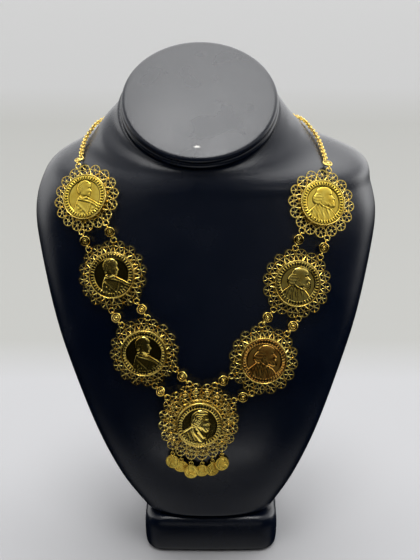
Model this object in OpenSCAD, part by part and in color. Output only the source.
// Gold coin necklace on a plain black neck bust.
// Millimetres, +Z up, the front of the chest towards -Y, left and right as seen from the front.
// The origin is on the floor under the middle of the whole object's box.

/* [Bust] */
// Width of the bust across its shoulders
bust_w = 195; // [190:1:200]
// Height of the foot block
foot_h = 22.6; // [20:0.2:22.6]
// Width of the foot block at its widest
foot_w = 77; // [70:1:84]
// Depth of the foot block at its widest
foot_depth = 104; // [96:1:108]
// Diameter of the slanted neck cap
neck_d = 88.6; // [84:0.2:89]
// Slant of the neck cap, towards the front
neck_slant = 40; // [38:1:42]
// How far the padding gives way at the front, under the necklace
rest_gap = 0.45; // [0.4:0.05:0.5]

/* [Medallions] */
// Diameter of a coin
coin_d = 24; // [23:0.2:24]
// Thickness of a coin
coin_t = 1.6; // [1.2:0.1:1.7]
// Thickness of the filigree plate
plate_t = 0.8; // [0.6:0.1:0.8]
// How far a bezel stands up from the back of its plate
bezel_h = 3.3; // [3:0.1:3.6]
// Round petals on a medallion
petals = 16; // [16:16]
// Distance from the middle of a medallion to the middle of a petal
petal_orbit = 15.85; // [15.85:0.01:15.9]
// Outer radius of a petal
petal_r = 3.15; // [3.14:0.01:3.2]
// Width of the wire ring of a petal
petal_wire = 0.65; // [0.5:0.05:0.8]

/* [Centre pendant] */
// Round petals on the larger back layer of the pendant
back_petals = 20; // [20:20]
// Distance from the middle of the pendant to the middle of a back petal
back_orbit = 19.1; // [19.1:0.01:19.15]
// Outer radius of a back petal
back_petal_r = 3.05; // [3.04:0.01:3.08]
// How far the front layer stands in front of the back one
layer_gap = 2.2; // [1.8:0.1:2.4]
// Diameter of a small drop coin
drop_d = 7.8; // [7:0.1:8]
// Thickness of a small drop coin
drop_t = 0.6; // [0.5:0.05:0.8]

/* [Links and chain] */
// Diameter of a domed bead link
bead_d = 5.6; // [5.2:0.1:5.6]
// Outer radius of a soldered loop
loop_r = 1.8; // [1.8:0.05:1.9]
// Radius of the hole of a soldered loop
loop_hole_r = 1.2; // [1.15:0.05:1.25]
// Radius of a chain link, to the middle of its wire
link_r = 1.1; // [1.05:0.01:1.12]
// Radius of the wire of a chain link
link_wire = 0.25; // [0.22:0.01:0.26]
// Distance from one chain link to the next
link_pitch = 1.55; // [1.5:0.01:1.56]

/* [Hidden] */
// Moves everything back, so that the origin lies under the middle of the box
set_back = -0.1;
// Sideways shift of the foot and of the neck, because the padded form leans a little
foot_shift = 3;
neck_shift = -3.4;
// Middle of the neck cap's face
cap_y = 22.3;
cap_z = 250;
cap_t = 3.4;
band_t = 3.5;
seam_gap = 0.12;
// Points around the bust, and rings between two rows of its table
BUST_SIDES = 48;
RING_STEPS = 3;

// Sections of the bust from its foot to its neck. Columns: height, slope of the section's plane towards the back,
// sideways shift, half width, y of the widest points, depth in front of them, depth behind them,
// roundness power in front, roundness power behind.
BUST = [
    [ 23, 0.000,  2.0, 34.5, -38.0, 14.5, 72.0, 2.2, 2.4],
    [ 44, 0.000,  1.0, 49.5, -34.0, 19.8, 61.0, 2.3, 2.3],
    [ 72, 0.000,  0.5, 63.5, -27.0, 26.0, 50.0, 2.4, 2.3],
    [110, 0.000,  0.0, 78.0, -16.0, 30.0, 43.0, 2.5, 2.3],
    [137, 0.000,  0.0, 87.0,  -6.0, 32.0, 38.0, 2.5, 2.3],
    [170, 0.000,  0.0, 95.0,   8.0, 34.4, 32.0, 2.5, 2.3],
    [189, 0.050,  0.0, 97.5,  16.0, 36.0, 29.0, 2.5, 2.3],
    [204, 0.120,  0.0, 95.0,  23.0, 38.5, 27.0, 2.5, 2.3],
    [216, 0.250,  1.8, 89.0,  26.0, 39.0, 27.0, 2.4, 2.3],
    [226, 0.380, -1.5, 66.3,  27.0, 36.8, 28.0, 2.3, 2.2],
    [234, 0.570, -3.5, 56.0,  26.5, 35.2, 30.0, 2.2, 2.1],
    [239.8, 0.710, -3.0, 49.4, 27.0, 34.6, 32.0, 2.0, 2.0],
    [244.2, 0.839, -4.2, 45.9, 27.2, 33.9, 33.4, 2.0, 2.0],
];

// Sections of the foot. Columns: height as a share of the foot's, half width and half depth as shares, corner radius
FOOT = [
    [0.00, 0.93, 0.945,  9],
    [0.05, 0.97, 0.975, 10],
    [0.18, 0.99, 0.992, 11],
    [0.50, 1.00, 1.000, 12],
    [0.80, 0.99, 0.990, 11],
    [1.00, 0.96, 0.960, 10],
];
CORNER_STEPS = 5;

// Medallions. Columns: name, place up the bust in rows of its table, angle round the bust, lift off the leather,
// turn and lean away from the surface's own direction, turn in its own plane, kind of head on the coin
MEDALS = [
    ["upper_left",   6.97, -128.2, 0.9, -2.5,  3.0,  2.5, "uniform"],
    ["middle_left",  4.71, -117.6, 0.8,  3.0,  1.0,  0.5, "uniform"],
    ["lower_left",   3.45, -108.5, 1.2,  2.0, -4.5, -5.0, "uniform"],
    ["centre",       2.37,  -91.7, 2.2,  5.0, -2.0, -5.0, "long_hair"],
    ["lower_right",  3.29,  -72.3, 0.8, -2.5,  1.0,  2.5, "bald"],
    ["middle_right", 4.59,  -62.7, 0.9, -3.5,  0.0,  1.0, "bald"],
    ["upper_right",  6.73,  -53.9, 0.9, -0.5,  3.0,  2.5, "bald"],
];
CENTRE = 3;

// Angles of the soldered loops of each medallion, in the same order, all in notches between petals
LOOPS = [
    [112.5, -45, -90],
    [90, 135, -45, -90],
    [90, 135, -22.5, -67.5],
    [108, 144, 72, 36],
    [90, 45, -157.5, -112.5],
    [90, 45, -135, -90],
    [67.5, -135, -90],
];

// Bead links between two medallions. Columns: first medallion, its loop, second medallion, its loop
LINKS = [
    [0, 1, 1, 0], [0, 2, 1, 1], [1, 2, 2, 0], [1, 3, 2, 1], [2, 2, 3, 0], [2, 3, 3, 1],
    [6, 1, 5, 0], [6, 2, 5, 1], [5, 2, 4, 0], [5, 3, 4, 1], [4, 2, 3, 2], [4, 3, 3, 3],
];

// Drops of the pendant. Columns: angle of its petal, turn of its coin about the upright, lean of its foot to the back
DROPS = [[-135, -14, -5], [-117, 2, 11], [-99, 1, -8], [-81, 3, 8], [-63, 22, -5], [-45, 14, -9]];

// Routes of the chain from its first link to the middle of the nape. Columns: place up the bust, angle round it
LEFT_ROUTE = [[8.7, -160.5], [8.82, -167.6], [8.92, -174.2], [9.02, -180], [9.13, -184.2], [9.24, -188.6],
    [9.27, -198], [9.22, -217], [9.14, -241], [9.08, -264.5]];
RIGHT_ROUTE = [[8.69, -25.5], [8.82, -18.6], [8.93, -12], [9.03, -5.6], [9.14, -0.2], [9.25, 5],
    [9.33, 10.5], [9.32, 21], [9.22, 41], [9.14, 64], [9.08, 84.5]];
chain_lift = 1.7;
ROUTE_STEPS = 12;

// Coin, plate and ring details
fit_gap = 0.1;
bezel_wall = 0.55;
ledge_w = 1.3;
ledge_t = 0.5;
rim_w = 0.8;
rim_t = 0.3;
relief_t = 0.5;
loop_sink = 0.15;
eye_r = 0.95;
eye_wire = 0.23;
eye_slack = 0.05;
stub_r = 0.31;
jump_r = 1.6;
jump_wire = 0.25;
jump_hang = 0.75;
small_eye_r = 1.05;
small_eye_wire = 0.25;
small_eye_hang = 0.4;
clasp_d = 2.4;

// Colours
LEATHER = "#1b1d22";
GOLD = "#d9a528";
BRIGHT = "#e8bd45";

// Derived sizes
coin_r = coin_d/2;
bezel_in = coin_r + fit_gap;
loop_wire_mid = (loop_r + loop_hole_r)/2;
bust_k = bust_w/195;
LAST = len(BUST) - 1;

// Vectors and placing

function unit(v) = v/norm(v);
function rot_x(a) = [[1, 0, 0], [0, cos(a), -sin(a)], [0, sin(a), cos(a)]];
function rot_z(a) = [[cos(a), -sin(a), 0], [sin(a), cos(a), 0], [0, 0, 1]];
function columns(x, y, z) = [for (i = [0:2]) [x[i], y[i], z[i]]];

// Places its children with the turning m and the origin at p
module posed(m, p)
    multmatrix([for (i = [0:2]) [m[i][0], m[i][1], m[i][2], p[i]]]) children();

// A wire ring about the z axis
module ring(r, wire) rotate_extrude($fn = 48) translate([r, 0]) circle(r = wire, $fn = 24);

// Bust

// A row of the bust's table at any place between its rows, on a smooth curve through them
function bust_row(s) =
    let (i = max(0, min(floor(s), LAST - 1)), t = s - i,
         a = BUST[max(i - 1, 0)], b = BUST[i], c = BUST[i + 1], d = BUST[min(i + 2, LAST)])
    0.5*(2*b + (c - a)*t + (2*a - 5*b + 4*c - d)*t*t + (3*b - a - 3*c + d)*t*t*t);

// A point of the bust's skin: s counts rows of the table, th is the angle round, -90 in front
function bust_point(s, th) =
    let (r = bust_row(s), power = sin(th) < 0 ? r[7] : r[8], depth = sin(th) < 0 ? r[5] : r[6],
         x = r[3]*bust_k*sign(cos(th))*pow(abs(cos(th)), 2/power),
         y = depth*sign(sin(th))*pow(abs(sin(th)), 2/power))
    [r[2] + x, r[4] + y + set_back, r[0] + r[1]*y];

function bust_normal(s, th) = unit(cross(
    bust_point(s, th + 1) - bust_point(s, th - 1),
    bust_point(min(s + 0.02, LAST), th) - bust_point(max(s - 0.02, 0), th)));

// A closed solid through rings of points, each ring counted from below and turning left
module loft(rings) {
    n = len(rings[0]);
    count = len(rings);
    polyhedron(
        points = [for (r = rings) each r],
        faces = concat(
            [[for (j = [0:n - 1]) j]],
            [for (i = [0:count - 2], j = [0:n - 1])
                let (k = (j + 1)%n) [i*n + j, (i + 1)*n + j, (i + 1)*n + k, i*n + k]],
            [[for (j = [0:n - 1]) (count - 1)*n + n - 1 - j]]),
        convexity = 4);
}

// A point of the chest's padding, whose front gives way by rest_gap under the necklace and by nothing at the neck
function padding_point(s, th) =
    bust_point(s, th) + [0, rest_gap*max(0, -sin(th))*min(1, (LAST - s)/3), 0];

module bust_chest() color(LEATHER)
    loft([for (k = [0:LAST*RING_STEPS])
        [for (j = [0:BUST_SIDES - 1]) padding_point(k/RING_STEPS, 360*j/BUST_SIDES)]]);

// A ring of points round a rectangle with round corners
function rounded_ring(w, d, r, z) = [
    for (q = [0:3], k = [0:CORNER_STEPS])
        let (a = 90*q + 90*k/CORNER_STEPS,
             x = (q == 0 || q == 3 ? 1 : -1)*(w - r), y = (q < 2 ? 1 : -1)*(d - r))
        [x + r*cos(a), y + r*sin(a), z]];

module bust_foot() color(LEATHER) translate([foot_shift, set_back, 0])
    loft([for (f = FOOT) rounded_ring(f[1]*foot_w/2, f[2]*foot_depth/2, f[3], f[0]*foot_h)]);

// Its children stand on the slanted plane of the neck, with the cap's face at z = 0
module at_neck() translate([neck_shift, cap_y + set_back, cap_z]) rotate([neck_slant, 0, 0]) children();

// A round cushion: a disc with a rounded edge of radius edge
module cushion(r, t, edge) rotate_extrude($fn = 96) {
    square([r - edge, t]);
    translate([0, edge]) square([r, t - 2*edge]);
    intersection() {
        union() for (z = [edge, t - edge]) translate([r - edge, z]) circle(r = edge, $fn = 32);
        square([r, t]);
    }
}

module bust_neck_cap() color(LEATHER) at_neck()
    translate([0, 0, -cap_t]) cushion(neck_d/2, cap_t, 1.5);

module bust_neck_band() color(LEATHER) at_neck()
    translate([0, 0, -cap_t - band_t - seam_gap]) cushion(neck_d/2 + 0.8, band_t, 1.6);

// Medallions

// Directions of a medallion: x to its right, y up in its plane, z out of its face
function medal_turn(i) =
    let (m = MEDALS[i], n = bust_normal(m[1], m[2]))
    rot_z(atan2(n[0], -n[1]) + m[4])*rot_x(90 - asin(n[2]) - m[5])*rot_z(m[6]);
function medal_place(i) = let (m = MEDALS[i]) bust_point(m[1], m[2]) + m[3]*bust_normal(m[1], m[2]);
function on_medal(i, v) = medal_place(i) + medal_turn(i)*v;

// Distance from the middle at which a loop is soldered into the notch between two petals
function notch(orbit, r, n) =
    orbit*cos(180/n) + sqrt(pow(r + loop_r - loop_sink, 2) - pow(orbit*sin(180/n), 2));
function loop_orbit(i) = i == CENTRE
    ? notch(back_orbit, back_petal_r, back_petals) : notch(petal_orbit, petal_r, petals);
function loop_centre(i, k) =
    let (a = LOOPS[i][k], r = loop_orbit(i)) on_medal(i, [r*cos(a), r*sin(a), plate_t/2]);

module round_petals(n, orbit, r)
    for (k = [0:n - 1]) rotate((k + 0.5)*360/n) translate([orbit, 0]) circle(r = r, $fn = 32);

// A scalloped plate with a hole for the coin, and loops in notches; pierced opens each petal
module petal_plate(n, orbit, r, loops, pierced) linear_extrude(plate_t) {
    difference() {
        union() {
            circle(r = orbit - 0.4, $fn = 96);
            round_petals(n, orbit, r);
        }
        circle(r = bezel_in + 0.3, $fn = 96);
        if (pierced) round_petals(n, orbit, r - petal_wire);
        for (a = loops) rotate(a) translate([notch(orbit, r, n), 0]) circle(r = loop_hole_r, $fn = 32);
    }
    for (a = loops) rotate(a) translate([notch(orbit, r, n), 0]) difference() {
        circle(r = loop_r, $fn = 32);
        circle(r = loop_hole_r, $fn = 32);
    }
}

// The cup that holds a coin: a wall, and a ledge under the coin
module bezel(h) rotate_extrude($fn = 96) {
    translate([bezel_in, 0]) square([bezel_wall, h]);
    translate([bezel_in - ledge_w, h - coin_t - fit_gap - ledge_t]) square([ledge_w + bezel_wall/2, ledge_t]);
}

module frame(i) color(GOLD) posed(medal_turn(i), medal_place(i)) {
    if (i == CENTRE) {
        petal_plate(back_petals, back_orbit, back_petal_r, LOOPS[i], true);
        translate([0, 0, layer_gap]) petal_plate(petals, petal_orbit, petal_r, [], false);
        bezel(bezel_h + layer_gap);
    } else {
        petal_plate(petals, petal_orbit, petal_r, LOOPS[i], true);
        bezel(bezel_h);
    }
}

// Coins

// Raised heads in profile, to the right, in shares of the coin's radius. They are plain and stand for nobody.
module head_outline(kind) {
    // Sizes in shares of the coin's radius: a plain head with a nose and chin, larger and to the right on a bald one
    translate(kind == "uniform" ? [0, 0] : [0.12, -0.06]) scale(kind == "uniform" ? 1 : 1.2) {
        translate([-0.05, 0.36]) scale([0.3, 0.35]) circle(r = 1, $fn = 32);
        polygon([[0.18, 0.46], [0.32, 0.28], [0.27, 0.24], [0.27, 0.06], [0.1, -0.02], [0.04, 0.3]]);
        polygon([[-0.24, 0.24], [0.12, 0.1], [0.06, -0.2], [-0.24, -0.2]]);
    }
    // Shoulders: turned to the right in a uniform, else to the left
    if (kind == "uniform")
        polygon([[-0.24, 0.02], [-0.36, -0.25], [-0.4, -0.7], [0.3, -0.85], [0.72, -0.58], [0.76, -0.4],
            [0.4, -0.13], [0.06, 0.03]]);
    else
        polygon([[-0.16, 0.1], [-0.72, -0.3], [-0.8, -0.5], [-0.4, -0.8], [0.3, -0.86], [0.5, -0.72],
            [0.3, -0.3], [0.1, -0.12]]);
    if (kind == "long_hair")
        translate([-0.06, 0.3]) scale([0.4, 0.45]) circle(r = 1, $fn = 32);
}

module coin_solid(kind) {
    rotate_extrude($fn = 96) {
        square([coin_r, coin_t - rim_t]);
        translate([coin_r - rim_w, 0]) square([rim_w, coin_t]);
    }
    translate([0, 0, coin_t - rim_t - 0.1]) linear_extrude(relief_t)
        scale(coin_r*0.92) head_outline(kind);
}

module coin(i) color(BRIGHT) posed(medal_turn(i), medal_place(i))
    translate([0, 0, bezel_h - coin_t + (i == CENTRE ? layer_gap : 0)]) coin_solid(MEDALS[i][7]);

// Bead links

// Where a bead link hooks round a ring's wire, on the side of the link's other end, and the way that the wire runs
function hook(centre, axis, r, other) =
    let (v = other - centre, d = unit(v - (v*axis)*axis))
    [centre + r*d, cross(axis, d)];
function medal_axis(i) = medal_turn(i)*[0, 0, 1];

// The two hooks of a bead link, and the way that its dome faces. The last two links join the chains.
function link_hooks(i) = i < len(LINKS)
    ? let (k = LINKS[i], a = loop_centre(k[0], k[1]), b = loop_centre(k[2], k[3]))
        [hook(a, medal_axis(k[0]), loop_wire_mid, b), hook(b, medal_axis(k[2]), loop_wire_mid, a),
            medal_axis(k[0]) + medal_axis(k[2])]
    : let (left = i == len(LINKS), m = left ? 0 : len(MEDALS) - 1, route = left ? LEFT_ROUTE : RIGHT_ROUTE,
           a = loop_centre(m, 0), b = route_point(route, 0), axis = link_turn(route, 0, link_tilt(0))*[0, 0, 1])
        [hook(a, medal_axis(m), loop_wire_mid, b), hook(b, axis, link_r, a),
            medal_axis(m) + route_normal(route, 0)];

// A domed dish with a wire eye at each end, hooked through what lies at its ends
module bead(i) {
    h = link_hooks(i);
    along = unit(h[1][0] - h[0][0]);
    out = unit(h[2] - (h[2]*along)*along);
    reach = norm(h[1][0] - h[0][0])/2 - eye_slack;
    middle = (h[0][0] + h[1][0])/2;
    color(BRIGHT) {
        posed(columns(along, cross(out, along), out), middle) {
            rotate_extrude($fn = 48) {
                translate([0, -0.5]) square([bead_d/2, 0.8]);
                translate([bead_d/2 - 0.75, 0]) square([0.75, 0.7]);
                intersection() {
                    circle(r = bead_d*0.28, $fn = 32);
                    translate([0, -0.4]) square(bead_d);
                }
            }
            if (reach - eye_r > bead_d/2 - stub_r)
                for (side = [-1, 1]) rotate([0, side*90, 0]) translate([0, 0, bead_d/2 - 2*stub_r])
                    cylinder(r = stub_r, h = reach - eye_r - bead_d/2 + 2*stub_r - 0.06, $fn = 24);
        }
        for (k = [0, 1]) {
            wire = unit(h[k][1] - (h[k][1]*along)*along);
            posed(columns(along, cross(wire, along), wire), middle + (2*k - 1)*reach*along) ring(eye_r, eye_wire);
        }
    }
}

// Drops of the pendant

// The lowest point of a drop's petal, in the middle of its wire
function drop_top(i) =
    let (a = DROPS[i][0], spin = MEDALS[CENTRE][6], r = back_petal_r - petal_wire/2)
    on_medal(CENTRE, [back_orbit*cos(a) - r*sin(spin), back_orbit*sin(a) - r*cos(spin), plate_t/2]);
function jump_centre(i) = drop_top(i) - [0, 0, jump_hang];

module drop_ring(i) color(GOLD) translate(jump_centre(i))
    rotate([0, 0, MEDALS[CENTRE][4]]) rotate([0, 90, 0]) ring(jump_r, jump_wire);

module drop_coin(i) color(BRIGHT)
    translate(jump_centre(i) - [0, 0, jump_r + small_eye_hang]) rotate([90 + DROPS[i][2], 0, DROPS[i][1]]) {
        ring(small_eye_r, small_eye_wire);
        translate([0, -small_eye_r - drop_d/2 + 0.05, -drop_t/2]) {
            cylinder(d = drop_d, h = drop_t, $fn = 48);
            translate([0, 0, drop_t - 0.05]) linear_extrude(0.2) scale(drop_d*0.42) head_outline("uniform");
        }
    }

// Chain

// Points and normals along a route, and the length run up to each
function route_row(route, t) =
    let (n = len(route) - 1, i = max(0, min(floor(t), n - 1)), u = t - i,
         a = route[max(i - 1, 0)], b = route[i], c = route[i + 1], d = route[min(i + 2, n)])
    0.5*(2*b + (c - a)*u + (2*a - 5*b + 4*c - d)*u*u + (3*b - a - 3*c + d)*u*u*u);
function route_normal(route, t) = let (r = route_row(route, t)) bust_normal(r[0], r[1]);
function route_point(route, t) =
    let (r = route_row(route, t)) bust_point(r[0], r[1]) + chain_lift*bust_normal(r[0], r[1]);
function route_points(route) =
    [for (k = [0:(len(route) - 1)*ROUTE_STEPS]) route_point(route, k/ROUTE_STEPS)];
function run_lengths(p) =
    [for (i = 0, a = 0; i < len(p); a = a + (i + 1 < len(p) ? norm(p[i + 1] - p[i]) : 0), i = i + 1) a];
function route_length(route) = let (a = run_lengths(route_points(route))) a[len(a) - 1];

// The number of links fits the route, so that the last one lies at its end
function link_count(route) = ceil(route_length(route)/link_pitch);

// The ring's plane leans one way and the other by turns, so that each link passes through the next
function link_turn(route, t, tilt) =
    let (ahead = unit(route_point(route, t + 0.02) - route_point(route, max(0, t - 0.02))),
         side = unit(cross(route_normal(route, t), ahead)), up = cross(ahead, side),
         axis = cos(tilt)*up + sin(tilt)*side)
    columns(ahead, cross(axis, ahead), axis);
function link_tilt(k) = k%2 == 0 ? 45 : -45;

// Round links along a route, each turned a quarter from the one before
module chain(route) color(GOLD) {
    run = run_lengths(route_points(route));
    steps = [for (k = [0:len(run) - 1]) [run[k], k/ROUTE_STEPS]];
    count = link_count(route);
    for (k = [0:count]) {
        t = lookup(k*route_length(route)/count, steps);
        posed(link_turn(route, t, link_tilt(k)), route_point(route, t)) ring(link_r, link_wire);
    }
}

// A plain barrel with a ring at each end, which the last links pass through
module clasp() color(GOLD) {
    routes = [LEFT_ROUTE, RIGHT_ROUTE];
    ends = [for (r = routes) route_point(r, len(r) - 1)];
    along = unit(ends[1] - ends[0]);
    reach = norm(ends[1] - ends[0])/2 - link_r - eye_slack;
    out = route_normal(LEFT_ROUTE, len(LEFT_ROUTE) - 1);
    side = unit(cross(out, along));
    posed(columns(along, side, cross(along, side)), (ends[0] + ends[1])/2) {
        rotate([0, 90, 0]) cylinder(d = clasp_d, h = 2*(reach - eye_r + 0.05), center = true, $fn = 32);
        for (k = [0, 1]) translate([(2*k - 1)*reach, 0, 0])
            rotate([(2*k - 1)*link_tilt(link_count(routes[k]) + 1), 0, 0]) ring(eye_r, eye_wire);
    }
}

bust_chest();
bust_neck_band();
bust_neck_cap();
bust_foot();
for (i = [0:len(MEDALS) - 1]) {
    frame(i);
    coin(i);
}
for (i = [0:len(LINKS) + 1]) bead(i);
for (i = [0:len(DROPS) - 1]) {
    drop_ring(i);
    drop_coin(i);
}
chain(LEFT_ROUTE);  // chain_left
chain(RIGHT_ROUTE);  // chain_right
clasp();
